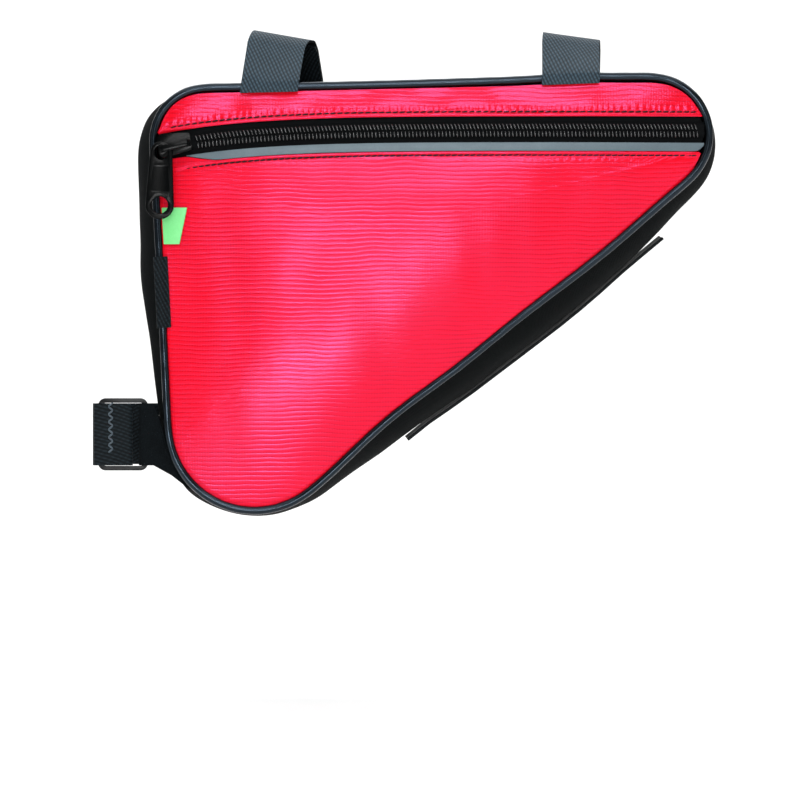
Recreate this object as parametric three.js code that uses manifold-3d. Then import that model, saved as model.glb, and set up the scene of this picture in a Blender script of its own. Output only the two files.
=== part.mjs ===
import * as THREE from 'three';
import { mergeVertices } from 'three/addons/utils/BufferGeometryUtils.js';
import Module from 'manifold-3d';

// A three-cornered bag that hangs under a bicycle's top tube, in millimetres. X runs forward along the
// tube, Y from the zipped face to the plain one, Z up. The origin is on the tube's axis, midway between
// the two top straps. The tubes are not built: the cloth keeps clear of them.

const TUBE = { topDiameter: 31.8, seatDiameter: 34, seatLean: 11.2, seatBehind: 47.7, clearance: 1 };
const BAG = {
  length: 289.6, height: 225.1, depth: 55, wall: 1.5, crown: 7,
  tipAhead: 146.8, topDrop: 4.7, topFall: 5.5, footInset: 8.1,
  rearRadius: 26, tipRadius: 29.1, footRadius: 44.2,
};
const GAP = 0.3;
const BEAD = { radius: 2.1, sides: 6 };
const ZIP = {
  below: 26.9, droop: 9.8, window: 13.5, tapeWidth: 19, tapeThick: 1, tapeSplit: 0.8,
  coilWidth: 8.3, coilThick: 2.5, stripWidth: 4.5, stripStart: 14, stripTaper: 20,
};
const SLIDER = { inset: 2.6, length: 17.6, ease: 0.6, plate: 1.8, bailSpan: 13.9, bailWire: 2.2,
  bailWidth: 3, bailLean: 4, bailLow: 1.4 };
const PULL = { thick: 2.2, eyeRadius: 5.3, lobeRadius: 7, reach: 27.3, eyeDrop: 1.5, eyeWide: 3.65, eyeHigh: 4.65,
  holeWide: 4.95, holeHigh: 5.4, tilt: 2.4, recess: 0.4, field: 9 };
const LABEL = { down: 44, length: 19, topWidth: 13.3, bottomWidth: 8.3, thick: 0.9 };
const JOINT_TAPE = { down: 93, length: 37, thick: 0.9, tail: 4.3 };
const TOP_STRAP = { spacing: 152, width: 30, thick: 1.5, foot: 3 };
const SEAT_STRAP = { width: 32.4, thick: 1.3, aboveFoot: 39.8 };
const RING = { width: 26, bar: 2.4, thick: 2.2, corner: 4, behind: 6, ease: 0.5 };
const FLAP = { width: 12, thick: 1.6, tipLift: 2 };

const COLOURS = { red: 0xd5192c, black: 0x17181a, webbing: 0x2b2e33, grey: 0x9a9ca0, green: 0x5fae5a };

const wasm = await Module();
wasm.setup();
const RADIANS = Math.PI / 180;
const point = (x, y, z) => new THREE.Vector3(x, y, z);
const mix = THREE.MathUtils.lerp;
const halfDepth = BAG.depth / 2;
const rearX = BAG.tipAhead - BAG.length;

// Solids

function toSolid(geometry) {
  const bare = geometry.clone();
  bare.deleteAttribute('normal');
  bare.deleteAttribute('uv');
  const merged = mergeVertices(bare, 1e-4);
  return new wasm.Manifold(new wasm.Mesh({
    numProp: 3, vertProperties: merged.attributes.position.array, triVerts: new Uint32Array(merged.index.array),
  }));
}

function toGeometry(solid) {
  const made = solid.getMesh();
  const geometry = new THREE.BufferGeometry();
  geometry.setAttribute('position', new THREE.BufferAttribute(new Float32Array(made.vertProperties), 3));
  geometry.setIndex(new THREE.BufferAttribute(new Uint32Array(made.triVerts), 1));
  return geometry;
}

function faced(geometry) {
  const p = geometry.attributes.position;
  const index = geometry.index.array;
  const [a, b, c] = [point(), point(), point()];
  let volume = 0;
  for (let i = 0; i < index.length; i += 3) {
    a.fromBufferAttribute(p, index[i]);
    b.fromBufferAttribute(p, index[i + 1]);
    c.fromBufferAttribute(p, index[i + 2]);
    volume += a.dot(b.cross(c));
  }
  if (volume < 0) {
    for (let i = 0; i < index.length; i += 3) [index[i + 1], index[i + 2]] = [index[i + 2], index[i + 1]];
  }
  return geometry;
}

// One closed body through rings of equally many points. Its ends are joined to each other (loop), closed by
// a fan round two middle points, or closed flat across rings whose points pair up from both ends.
function loft(rings, { loop = false, middles = null } = {}) {
  const count = rings[0].length;
  const points = rings.flat();
  const index = [];
  const quad = (a, b, c, d) => index.push(a, b, c, a, c, d);
  for (let i = 0; i < (loop ? rings.length : rings.length - 1); i++) {
    const here = i * count;
    const next = ((i + 1) % rings.length) * count;
    for (let j = 0; j < count; j++) quad(here + j, next + j, next + (j + 1) % count, here + (j + 1) % count);
  }
  const last = (rings.length - 1) * count;
  if (middles) {
    points.push(...middles);
    for (let j = 0; j < count; j++) {
      index.push(points.length - 2, j, (j + 1) % count, points.length - 1, last + (j + 1) % count, last + j);
    }
  } else if (!loop) {
    for (let j = 0; j < count / 2 - 1; j++) {
      quad(j, j + 1, count - 2 - j, count - 1 - j);
      quad(last + j, last + count - 1 - j, last + count - 2 - j, last + j + 1);
    }
  }
  const geometry = new THREE.BufferGeometry();
  geometry.setAttribute('position', new THREE.Float32BufferAttribute(points.flatMap((p) => p.toArray()), 3));
  geometry.setIndex(new THREE.BufferAttribute(new Uint32Array(index), 1));
  return faced(geometry);
}

// A band between two or more edges, each a list of points, with its thickness square to it everywhere.
function ribbon(edges, thick) {
  const around = (list, k) => [list[Math.min(k + 1, list.length - 1)], list[Math.max(k - 1, 0)]];
  return loft(edges[0].map((_, i) => {
    const across = edges.map((line) => line[i]);
    const squares = across.map((p, j) => {
      const [next, before] = around(edges[j], i);
      const [right, left] = around(across, j);
      return next.clone().sub(before).cross(right.clone().sub(left)).normalize().multiplyScalar(thick / 2);
    });
    return [...across.map((p, j) => p.clone().add(squares[j])),
      ...across.map((p, j) => p.clone().sub(squares[j])).reverse()];
  }));
}

// The seam's outline: three round corners and the straight sides that touch them

const CORNERS = {
  rear: { x: rearX + BAG.rearRadius, z: -BAG.topDrop - BAG.topFall - BAG.rearRadius, r: BAG.rearRadius, steps: 6 },
  tip: { x: BAG.tipAhead - BAG.tipRadius, z: -BAG.topDrop - BAG.tipRadius, r: BAG.tipRadius, steps: 8 },
  foot: { x: rearX + BAG.footInset + BAG.footRadius, z: -BAG.topDrop - BAG.height + BAG.footRadius,
    r: BAG.footRadius, steps: 10 },
};
const SIDES = [
  { name: 'top', from: 'rear', to: 'tip', steps: 16 },
  { name: 'slope', from: 'tip', to: 'foot', steps: 18 },
  { name: 'back', from: 'foot', to: 'rear', steps: 12 },
];
// Where a side bends off its straight line: place, spread and reach as shares of the side's length.
const BOWS = [
  { side: 'top', at: 0.84, spread: 0.15, out: 0.004 },
  { side: 'slope', at: 0.235, spread: 0.23, out: 0.006 },
  { side: 'slope', at: 0.785, spread: 0.21, out: -0.010 },
];
// How far the cloth between the seams stands out at mid depth, as a share of half the depth.
const BULGES = [
  { part: 'top', at: 0.1, out: 0 }, { part: 'top', at: 0.9, out: 0 }, { part: 'tip', at: 0.5, out: 0.15 },
  { part: 'slope', at: 0, out: 0.31 }, { part: 'slope', at: 0.16, out: 0.45 }, { part: 'slope', at: 0.4, out: 0.54 },
  { part: 'slope', at: 0.63, out: 0.48 }, { part: 'slope', at: 0.8, out: 0.44 }, { part: 'slope', at: 0.95, out: 0.25 },
  { part: 'foot', at: 0.1, out: 0.14 }, { part: 'foot', at: 0.45, out: 0.14 }, { part: 'foot', at: 0.8, out: 0.24 },
  { part: 'back', at: 0.17, out: 0.42 }, { part: 'back', at: 0.45, out: 0.5 }, { part: 'back', at: 0.7, out: 0.41 },
  { part: 'back', at: 0.92, out: 0.38 }, { part: 'rear', at: 0.3, out: 0.27 },
];
const PARTS = ['top', 'tip', 'slope', 'foot', 'back', 'rear'];

function bulgeAt(place) {
  const rows = BULGES.map((row) => ({ place: PARTS.indexOf(row.part) + row.at, out: row.out }));
  const after = rows.findIndex((row) => row.place > place);
  const b = rows[after < 0 ? 0 : after];
  const a = rows[(rows.indexOf(b) + rows.length - 1) % rows.length];
  const span = (b.place - a.place + PARTS.length) % PARTS.length;
  const share = ((place - a.place + PARTS.length) % PARTS.length) / span;
  return halfDepth * mix(a.out, b.out, THREE.MathUtils.smoothstep(share, 0, 1));
}

// The angle of the outward normal on the straight line that touches two corners.
function normalAngle(a, b) {
  const heading = Math.atan2(b.z - a.z, b.x - a.x);
  return heading + Math.acos((a.r - b.r) / Math.hypot(b.x - a.x, b.z - a.z));
}

function seamStations() {
  const stations = [];
  SIDES.forEach((side, i) => {
    const [a, b, next] = [CORNERS[side.from], CORNERS[side.to], CORNERS[SIDES[(i + 1) % 3].to]];
    const angle = normalAngle(a, b);
    const length = Math.sqrt(Math.hypot(b.x - a.x, b.z - a.z) ** 2 - (a.r - b.r) ** 2);
    const [nx, nz] = [Math.cos(angle), Math.sin(angle)];
    for (let k = 0; k < side.steps; k++) {
      const t = k / side.steps;
      let bow = 0;
      for (const row of BOWS.filter((r) => r.side === side.name && Math.abs(t - r.at) < r.spread)) {
        bow += length * row.out * 0.5 * (1 + Math.cos(Math.PI * (t - row.at) / row.spread));
      }
      const reach = mix(a.r, b.r, t) + bow;
      stations.push({ x: mix(a.x, b.x, t) + nx * reach, z: mix(a.z, b.z, t) + nz * reach, nx, nz,
        place: 2 * i + t });
    }
    const turn = (normalAngle(b, next) - angle - 4 * Math.PI) % (2 * Math.PI);
    for (let k = 0; k < b.steps; k++) {
      const t = k / b.steps;
      const [cx, cz] = [Math.cos(angle + turn * t), Math.sin(angle + turn * t)];
      stations.push({ x: b.x + cx * b.r, z: b.z + cz * b.r, nx: cx, nz: cz, place: 2 * i + 1 + t });
    }
  });
  return stations;
}
const STATIONS = seamStations();

const seatAxisX = (z) => rearX - TUBE.seatBehind - Math.tan(TUBE.seatLean * RADIANS) * z;

// How far out the cloth's mid surface stands at a station and depth y, held back by both tubes.
function clothOut(station, y, reach) {
  const share = Math.min(Math.abs(y) / reach, 1);
  let out = bulgeAt(station.place) * (1 - share ** 2.4);
  const topRadius = TUBE.topDiameter / 2 + TUBE.clearance;
  const seatRadius = TUBE.seatDiameter / 2 + TUBE.clearance;
  if (station.nz > 0.05 && Math.abs(y) < topRadius) {
    const ceiling = -Math.sqrt(topRadius ** 2 - y ** 2) - BAG.wall / 2;
    out = Math.min(out, (ceiling - station.z) / station.nz);
  }
  if (station.nx < -0.2 && Math.abs(y) < seatRadius) {
    const side = Math.sqrt(seatRadius ** 2 - y ** 2) / Math.cos(TUBE.seatLean * RADIANS) + BAG.wall / 2;
    out = Math.min(out, (seatAxisX(station.z) + side - station.x) / station.nx);
  }
  return out;
}

const gussetReach = halfDepth - BEAD.radius - GAP;
const gussetRows = Array.from({ length: 11 }, (_, j) => -gussetReach * Math.cos(Math.PI * j / 10));
const outward = (station, out, y) => point(station.x + station.nx * out, y, station.z + station.nz * out);

function gusset() {
  const half = BAG.wall / 2;
  return loft(STATIONS.map((station) => {
    const outs = gussetRows.map((y) => clothOut(station, y, gussetReach));
    const skin = (side) => gussetRows.map((y, j) => {
      const end = j === 0 || j === gussetRows.length - 1;
      const dy = end ? 1 : gussetRows[j + 1] - gussetRows[j - 1];
      const rise = end ? 0 : outs[j + 1] - outs[j - 1];
      const long = Math.hypot(dy, rise);
      return outward(station, outs[j] + side * half * dy / long, y - side * half * rise / long);
    });
    return [...skin(1), ...skin(-1).reverse()];
  }), { loop: true });
}

// The outer skin's x on the rear edge at height z and depth y.
function rearSkinX(z, y) {
  const rear = STATIONS.filter((s) => s.place > 3.5).map((s) => outward(s, clothOut(s, y, gussetReach) + BAG.wall / 2, y));
  const i = rear.findIndex((p, k) => k > 0 && rear[k - 1].z <= z && p.z >= z);
  const [a, b] = [rear[i - 1], rear[i]];
  return mix(a.x, b.x, (z - a.z) / (b.z - a.z));
}

// The seam itself on the rear edge at height z, with its outward normal.
function rearSeamAt(z) {
  const rear = STATIONS.filter((s) => s.place > 3.3);
  const i = rear.findIndex((s, k) => k > 0 && rear[k - 1].z <= z && s.z >= z);
  const [a, b] = [rear[i - 1], rear[i]];
  const t = (z - a.z) / (b.z - a.z);
  return { x: mix(a.x, b.x, t), z, nx: mix(a.nx, b.nx, t), nz: mix(a.nz, b.nz, t) };
}

function bead(side) {
  return loft(STATIONS.map((station) => Array.from({ length: BEAD.sides }, (_, k) => {
    const turn = (k + 0.5) * 2 * Math.PI / BEAD.sides;
    return outward(station, BEAD.radius * Math.cos(turn), side * halfDepth + BEAD.radius * Math.sin(turn));
  })), { loop: true });
}

// The two faces: crowned sheets inside the beads

const FACE_RINGS = [0.25, 0.5, 0.72, 0.88, 1];
const edge = STATIONS.map((s) => ({ x: s.x - s.nx * (BEAD.radius + GAP), z: s.z - s.nz * (BEAD.radius + GAP) }));
const middle = {
  x: (CORNERS.rear.x + CORNERS.tip.x + CORNERS.foot.x) / 3,
  z: (CORNERS.rear.z + CORNERS.tip.z + CORNERS.foot.z) / 3,
};
const crownAt = (share) => BAG.crown * (1 - share ** 2.2);

// How far a place on the face lies from its middle towards the edge, from 0 to 1.
function shareAt(x, z) {
  const [qx, qz] = [x - middle.x, z - middle.z];
  for (let i = 0; i < edge.length; i++) {
    const [a, b] = [edge[i], edge[(i + 1) % edge.length]];
    const [ex, ez, ax, az] = [b.x - a.x, b.z - a.z, a.x - middle.x, a.z - middle.z];
    const cross = qx * ez - qz * ex;
    const reach = (ax * ez - az * ex) / cross;
    const along = (ax * qz - az * qx) / cross;
    if (reach > 0 && along >= -1e-9 && along <= 1 + 1e-9) return Math.min(1 / reach, 1);
  }
  return 0;
}
const faceY = (x, z, lift) => -(halfDepth + crownAt(shareAt(x, z)) + lift);

// A sheet over one face, from one lift to another above the wall's mid surface.
function faceSheet(side, high, low) {
  const ring = (share, lift) => edge.map((p) => point(
    mix(middle.x, p.x, share), side * (halfDepth + crownAt(share) + lift), mix(middle.z, p.z, share)));
  const crest = (lift) => point(middle.x, side * (halfDepth + BAG.crown + lift), middle.z);
  return loft([...FACE_RINGS.map((share) => ring(share, high)), ...[...FACE_RINGS].reverse().map((share) => ring(share, low))],
    { middles: [crest(high), crest(low)] });
}

const zipLine = (x) => -BAG.topDrop - ZIP.below - ZIP.droop * Math.max((BAG.tipAhead - x) / BAG.length, 0) ** 6;
const stripStartX = rearX + ZIP.stripStart;
const stripWidth = (x) => ZIP.stripWidth * THREE.MathUtils.smoothstep(x, stripStartX, stripStartX + ZIP.stripTaper);

// A block through the front face between two curves of height over x.
function band(lower, upper, fromX = -Infinity) {
  const places = Array.from({ length: 41 }, (_, k) => rearX + BAG.length * (k / 40 * 1.1 - 0.05))
    .filter((x) => x >= fromX);
  const shape = new THREE.Shape([
    ...places.map((x) => new THREE.Vector2(x, lower(x))),
    ...places.reverse().map((x) => new THREE.Vector2(x, upper(x))),
  ]);
  return toSolid(new THREE.ExtrudeGeometry(shape, { depth: 2 * BAG.depth, bevelEnabled: false }).rotateX(Math.PI / 2));
}

function frontPieces() {
  const half = BAG.wall / 2;
  const sheet = toSolid(faceSheet(-1, half, -half));
  const under = toSolid(faceSheet(-1, -half - GAP, -half - GAP - ZIP.tapeThick));
  const top = (x) => zipLine(x) + ZIP.window / 2;
  const bottom = (x) => zipLine(x) - ZIP.window / 2;
  const above = () => BAG.depth;
  const beneath = () => -BAG.topDrop - BAG.height - BAG.depth;
  return {
    front_top_panel: sheet.intersect(band(top, above)),
    front_panel: sheet.intersect(band(beneath, (x) => bottom(x) - stripWidth(x) - GAP)),
    reflective_strip: sheet.intersect(band((x) => bottom(x) - stripWidth(x), bottom, stripStartX)),
    zip_tape_upper: under.intersect(band((x) => zipLine(x) + ZIP.tapeSplit / 2, (x) => zipLine(x) + ZIP.tapeWidth / 2)),
    zip_tape_lower: under.intersect(band((x) => zipLine(x) - ZIP.tapeWidth / 2, (x) => zipLine(x) - ZIP.tapeSplit / 2)),
  };
}

// Zip

const tapeFront = BAG.wall / 2 + GAP;
const sliderX = rearX + SLIDER.inset + SLIDER.length / 2;
const zipAngle = (x) => Math.atan2(zipLine(x + 1) - zipLine(x - 1), 2);

function zipCoil() {
  const section = [[-0.5, 0], [-0.5, 0.5], [-0.3, 1], [-0.06, 0.8], [0.06, 0.8], [0.3, 1], [0.5, 0.5], [0.5, 0]];
  const fromX = sliderX - SLIDER.length * 0.3;
  const endX = BAG.tipAhead - BEAD.radius - 3 * GAP;
  return loft(Array.from({ length: 37 }, (_, k) => {
    const x = mix(fromX, endX, k / 36);
    const [turn, z] = [zipAngle(x), zipLine(x)];
    return section.map(([across, rise]) => {
      const [px, pz] = [x - Math.sin(turn) * across * ZIP.coilWidth, z + Math.cos(turn) * across * ZIP.coilWidth];
      return point(px, faceY(px, pz, -tapeFront + GAP + rise * ZIP.coilThick), pz);
    });
  }));
}

const sliderBack = Math.min(...[-0.5, 0, 0.5].flatMap((along) => [-0.5, 0.5].map((across) => faceY(
  sliderX + along * SLIDER.length, zipLine(sliderX) + across * ZIP.window, -tapeFront + GAP))));
const channelDeep = ZIP.coilThick + GAP;
const sliderFront = sliderBack - channelDeep - SLIDER.plate;
const bail = {
  x: sliderX + 0.5, z: zipLine(sliderX) - SLIDER.bailLow, angle: zipAngle(sliderX) + SLIDER.bailLean * RADIANS,
};

// Extrudes a shape drawn in x and z towards the viewer, from y = back.
function plate(shape, thick, back, curveSegments = 8) {
  return new THREE.ExtrudeGeometry(shape, { depth: thick, bevelEnabled: false, curveSegments })
    .rotateX(Math.PI / 2).translate(0, back, 0);
}

function zipSlider() {
  const [l, w] = [SLIDER.length / 2, ZIP.window / 2 - SLIDER.ease];
  const shape = new THREE.Shape();
  shape.moveTo(-l * 0.75, -w);
  shape.quadraticCurveTo(0, -w * 0.96, l * 0.9, -w * 0.74);
  shape.quadraticCurveTo(l, -w * 0.7, l, -w * 0.5);
  shape.lineTo(l, w * 0.5);
  shape.quadraticCurveTo(l, w * 0.7, l * 0.9, w * 0.74);
  shape.quadraticCurveTo(0, w * 0.96, -l * 0.75, w);
  shape.quadraticCurveTo(-l, w * 0.9, -l, w * 0.4);
  shape.lineTo(-l, -w * 0.4);
  shape.quadraticCurveTo(-l, -w * 0.9, -l * 0.75, -w);
  const turned = (g, at, angle) => g.rotateY(-angle).translate(at.x, 0, at.z);
  const place = { x: sliderX, z: zipLine(sliderX) };
  const angle = zipAngle(sliderX);
  const body = turned(plate(shape, channelDeep + SLIDER.plate, sliderBack, 5), place, angle);
  const channel = turned(new THREE.BoxGeometry(2 * SLIDER.length, 2 * channelDeep, ZIP.coilWidth + 2 * GAP)
    .translate(0, sliderBack, 0), place, angle);
  const arch = new THREE.Shape();
  const [half, wire] = [SLIDER.bailSpan / 2, SLIDER.bailWire];
  const inner = PULL.thick + 2 * GAP + 0.2;
  arch.moveTo(-half - wire / 2, -1);
  arch.lineTo(-half - wire / 2, inner + wire * 0.3);
  arch.quadraticCurveTo(-half - wire / 2, inner + wire, -half + wire * 0.4, inner + wire);
  arch.lineTo(half - wire * 0.4, inner + wire);
  arch.quadraticCurveTo(half + wire / 2, inner + wire, half + wire / 2, inner + wire * 0.3);
  arch.lineTo(half + wire / 2, -1);
  arch.lineTo(half - wire / 2, -1);
  arch.lineTo(half - wire / 2, inner);
  arch.lineTo(-half + wire / 2, inner);
  arch.lineTo(-half + wire / 2, -1);
  const bow = turned(new THREE.ExtrudeGeometry(arch, { depth: SLIDER.bailWidth, bevelEnabled: false, curveSegments: 4 })
    .translate(0, 0, -SLIDER.bailWidth / 2).rotateX(Math.PI).translate(0, sliderFront, 0), bail, bail.angle);
  return toGeometry(toSolid(body).subtract(toSolid(channel)).add(toSolid(bow)));
}

const pivot = {
  x: bail.x - Math.cos(bail.angle) * SLIDER.bailSpan / 2, z: bail.z - Math.sin(bail.angle) * SLIDER.bailSpan / 2,
};

// The pull hangs from the bail's rear leg, which runs along y through its eye.
function zipPull() {
  const slope = Math.asin((PULL.lobeRadius - PULL.eyeRadius) / PULL.reach);
  const shape = new THREE.Shape();
  shape.absarc(0, -PULL.eyeDrop, PULL.eyeRadius, slope, Math.PI - slope);
  shape.absarc(0, -PULL.eyeDrop - PULL.reach, PULL.lobeRadius, Math.PI - slope, 2 * Math.PI + slope);
  shape.holes.push(new THREE.Path().absellipse(0, -PULL.eyeDrop, PULL.eyeWide, PULL.eyeHigh, 0, 2 * Math.PI, true));
  shape.holes.push(new THREE.Path().absellipse(0, -PULL.eyeDrop - PULL.reach, PULL.holeWide, PULL.holeHigh,
    0, 2 * Math.PI, true));
  const back = sliderFront - GAP - 0.1;
  const body = toSolid(plate(shape, PULL.thick, back, 10));
  const [top, bottom] = [-PULL.eyeDrop - PULL.eyeHigh - 1.3, -PULL.eyeDrop - PULL.reach + PULL.holeHigh + 1];
  const field = new THREE.Shape([[-0.46, top], [-0.56, bottom], [0.56, bottom], [0.46, top]]
    .map(([x, z]) => new THREE.Vector2(x * PULL.field, z)));
  const sunk = toSolid(plate(field, 2 * PULL.recess, back - PULL.thick + PULL.recess));
  return toGeometry(body.subtract(sunk)).rotateY(PULL.tilt * RADIANS).translate(pivot.x, 0, pivot.z);
}

// Tag and joint tape in the rear seam of the front

function labelTab() {
  const rows = [0, 0.5, 1].map((t) => ({ z: CORNERS.rear.z - LABEL.down + 8 - LABEL.length * t,
    width: mix(LABEL.topWidth, LABEL.bottomWidth, t) }));
  const side = (row, share) => {
    const x = rearSeamAt(row.z).x + BEAD.radius + 2 * GAP + row.width * share;
    return point(x, faceY(x, row.z, BAG.wall / 2 + GAP + LABEL.thick), row.z);
  };
  return ribbon([0, 1].map((share) => rows.map((row) => side(row, share))), LABEL.thick);
}

function pipingJointTape() {
  const topZ = -BAG.topDrop - JOINT_TAPE.down;
  const [inner, outer] = [BEAD.radius + GAP, BEAD.radius + GAP + JOINT_TAPE.thick];
  const turns = [-90, -60, -30, 0, 30, 52].map((degrees) => degrees * RADIANS);
  const arc = (r) => turns.map((turn) => [-r * Math.sin(turn), r * Math.cos(turn)]);
  const rise = BAG.wall / 2 + GAP;
  const section = [...arc(inner), [-JOINT_TAPE.tail, rise + 0.5], [-JOINT_TAPE.tail, rise + 0.5 + JOINT_TAPE.thick],
    ...arc(outer).reverse()];
  return loft(Array.from({ length: 7 }, (_, k) => {
    const seam = rearSeamAt(topZ - JOINT_TAPE.length * k / 6);
    return section.map(([out, forward]) => outward(seam, out, -halfDepth - forward));
  }));
}

// Doubled strip along the slanted gusset, with its free tip towards the top
function gussetFlap() {
  const lifts = [{ at: 0.1, lift: 1 }, { at: 0.135, lift: 0.75 }, { at: 0.17, lift: 0.2 }, { at: 0.22, lift: 0 },
    { at: 0.7, lift: 0 }, { at: 0.79, lift: 0.6 }];
  const rows = STATIONS.filter((s) => s.place > 2.09 && s.place < 2.8);
  const liftAt = (t) => {
    const k = Math.max(lifts.findIndex((row) => row.at > t), 1);
    return mix(lifts[k - 1].lift, lifts[k].lift, (t - lifts[k - 1].at) / (lifts[k].at - lifts[k - 1].at));
  };
  const depths = Array.from({ length: 5 }, (_, k) => FLAP.width * (k / 4 - 0.1));
  return loft(rows.map((s) => {
    const base = BAG.wall / 2 + GAP + FLAP.tipLift * liftAt(s.place - 2);
    const skin = (rise) => depths.map((y) => outward(s, clothOut(s, y, gussetReach) + base + rise, y));
    return [...skin(FLAP.thick), ...skin(0).reverse()];
  }));
}

// Straps over the top tube

const TOP_STRAPS = [
  { name: 'left', side: -1, skew: 13.1, rise: [5.2, 0] },
  { name: 'right', side: 1, skew: 3.6, rise: [4.2, 0] },
];
const seamTopZ = (x) => {
  const i = STATIONS.findIndex((s, k) => s.x <= x && STATIONS[k + 1].x > x);
  const [a, b] = [STATIONS[i], STATIONS[i + 1]];
  return mix(a.z, b.z, (x - a.x) / (b.x - a.x));
};
const strapFootY = halfDepth + BEAD.radius + GAP + TOP_STRAP.thick / 2;

// One edge of a strap: up from the seam, round the tube and down. Layer 1 lies outside layer 0 at the rear.
function overTube(strap, across, layer) {
  const rise = strap.rise[across < 0 ? 0 : 1];
  const base = TUBE.topDiameter / 2 + GAP + TOP_STRAP.thick / 2;
  const step = TOP_STRAP.thick + GAP;
  const edgeX = (share) => strap.side * TOP_STRAP.spacing / 2 + across * TOP_STRAP.width / 2 + strap.skew * (share - 0.5);
  const foot = (side, outer) => {
    const z = seamTopZ(edgeX(side < 0 ? 0 : 1));
    return { y: side * (strapFootY + 1.4 * outer), z: z - TOP_STRAP.foot, top: z + BEAD.radius };
  };
  const shoulder = (f) => ({ y: f.y, z: f.top });
  const touch = (f, radius) => Math.atan2(f.top - rise, Math.abs(f.y))
    + Math.acos(radius / Math.hypot(f.y, f.top - rise));
  const path = [];
  const rear = foot(1, layer * step);
  const rearRadius = base + layer * step;
  const rearTouch = touch(rear, rearRadius);
  const share = (k, n) => k / n;
  if (layer === 1) {
    const front = foot(-1, 0);
    const start = Math.PI - touch(front, base);
    path.push({ ...front, s: 0 }, { ...shoulder(front), s: 0.05 });
    for (let k = 0; k <= 12; k++) {
      const turn = mix(start, rearTouch, share(k, 12));
      const radius = base + step * THREE.MathUtils.smoothstep(-turn, -1.5, -1.1);
      path.push({ y: radius * Math.cos(turn), z: rise + radius * Math.sin(turn), s: mix(0.25, 0.75, share(k, 12)) });
    }
    const last = path.at(-1);
    path.push({ y: mix(last.y, rear.y, 0.75), z: mix(last.z, rear.top, 0.75), s: 0.93 });
  } else {
    path.push({ ...rear, s: 1 }, { ...shoulder(rear), s: 0.95 });
    for (let k = 0; k <= 4; k++) {
      const turn = mix(rearTouch, 1.06, share(k, 4));
      path.push({ y: rearRadius * Math.cos(turn), z: rise + rearRadius * Math.sin(turn), s: mix(0.75, 0.62, share(k, 4)) });
    }
  }
  return path.map((p) => point(edgeX(p.s), p.y, p.z));
}
const topStrap = (strap, layer) => ribbon([overTube(strap, -1, layer), overTube(strap, 1, layer)], TOP_STRAP.thick);

// Strap round the seat tube

const strapZ = -BAG.topDrop - BAG.height + SEAT_STRAP.aboveFoot;
const axisX = seatAxisX(strapZ);
const seatRadius = TUBE.seatDiameter / 2;
const strapSpread = Math.tan(TUBE.seatLean * RADIANS) * SEAT_STRAP.width / 2;
const frontInner = seatRadius + TUBE.clearance + SEAT_STRAP.thick / 2;
const ringBack = frontInner + SEAT_STRAP.thick / 2 + GAP;
const frontOuter = ringBack + RING.thick + GAP + SEAT_STRAP.thick / 2;
const ringX = axisX - RING.behind;
const foldRadius = (frontOuter - frontInner) / 2;

function fold(x, turnsRight) {
  const side = turnsRight ? 1 : -1;
  return [-60, -30, 0, 30, 60].map((degrees) => {
    const turn = degrees * RADIANS;
    return [x + side * foldRadius * Math.cos(turn), -(frontInner + frontOuter) / 2 - foldRadius * Math.sin(turn)];
  });
}

function seatStrap() {
  const left = seatRadius + strapSpread + GAP + SEAT_STRAP.thick / 2;
  const rearY = frontInner + GAP;
  const foldX = ringX + RING.width / 2 - RING.bar - 8.2;
  const loop = [
    [axisX, rearY], [axisX - left * 0.42, rearY * 0.97], [axisX - left * 0.75, rearY * 0.82],
    [axisX - left * 0.97, rearY * 0.45], [axisX - left * 1.02, 0], [axisX - left * 0.98, -rearY * 0.45],
    [axisX - left * 0.82, -rearY * 0.84], [axisX - left * 0.5, -frontInner * 0.99], [foldX - 3, -frontInner],
    ...fold(foldX, true), [foldX - 3, -frontOuter], [ringX - RING.width / 2 + 2, -frontOuter],
    [ringX - RING.width / 2 - 1.2, -frontOuter + 0.5], [ringX - RING.width / 2 - 2.3, -frontOuter + 3.2],
  ];
  const start = Math.min(...[1, 0.5, 0, -0.5, -1].map((up) =>
    rearSkinX(strapZ + up * SEAT_STRAP.width / 2, rearY - SEAT_STRAP.thick))) - GAP;
  const edgeAt = (up) => [[start, rearY], ...loop].map(([x, y]) => point(x, y, strapZ + up * SEAT_STRAP.width / 2));
  return ribbon([edgeAt(1), edgeAt(-1)], SEAT_STRAP.thick);
}

function ringTab() {
  const barX = ringX + RING.width / 2 - RING.bar;
  const inner = [[barX + 4.5, -frontInner], [barX + 1.5, -frontInner]];
  const round = fold(barX + GAP, false);
  const over = [[barX + 2, -frontOuter], [barX + 5.5, -frontOuter - 0.2]];
  const path = [...inner, ...round, ...over];
  const edgeAt = (up) => {
    const z = strapZ + up * SEAT_STRAP.width / 2;
    const endZ = strapZ - SEAT_STRAP.width * (0.485 - 0.335 * up);
    const last = outward(rearSeamAt(endZ), BEAD.radius + 3 * GAP, -gussetReach + SEAT_STRAP.thick / 2);
    const [fromX, fromY] = over[1];
    const middle = point(mix(fromX, last.x, 0.5), mix(fromY, last.y, 0.5), mix(z, endZ, 0.44 - 0.06 * up));
    return [...path.map(([x, y]) => point(x, y, z)), middle, last];
  };
  return ribbon([1, 0.5, 0, -0.5, -1].map(edgeAt), SEAT_STRAP.thick);
}

function roundedBox(width, height, radius) {
  const [w, h] = [width / 2, height / 2];
  const shape = new THREE.Shape();
  shape.absarc(w - radius, h - radius, radius, 0, Math.PI / 2);
  shape.absarc(-w + radius, h - radius, radius, Math.PI / 2, Math.PI);
  shape.absarc(-w + radius, -h + radius, radius, Math.PI, 1.5 * Math.PI);
  shape.absarc(w - radius, -h + radius, radius, 1.5 * Math.PI, 2 * Math.PI);
  return shape;
}

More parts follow.
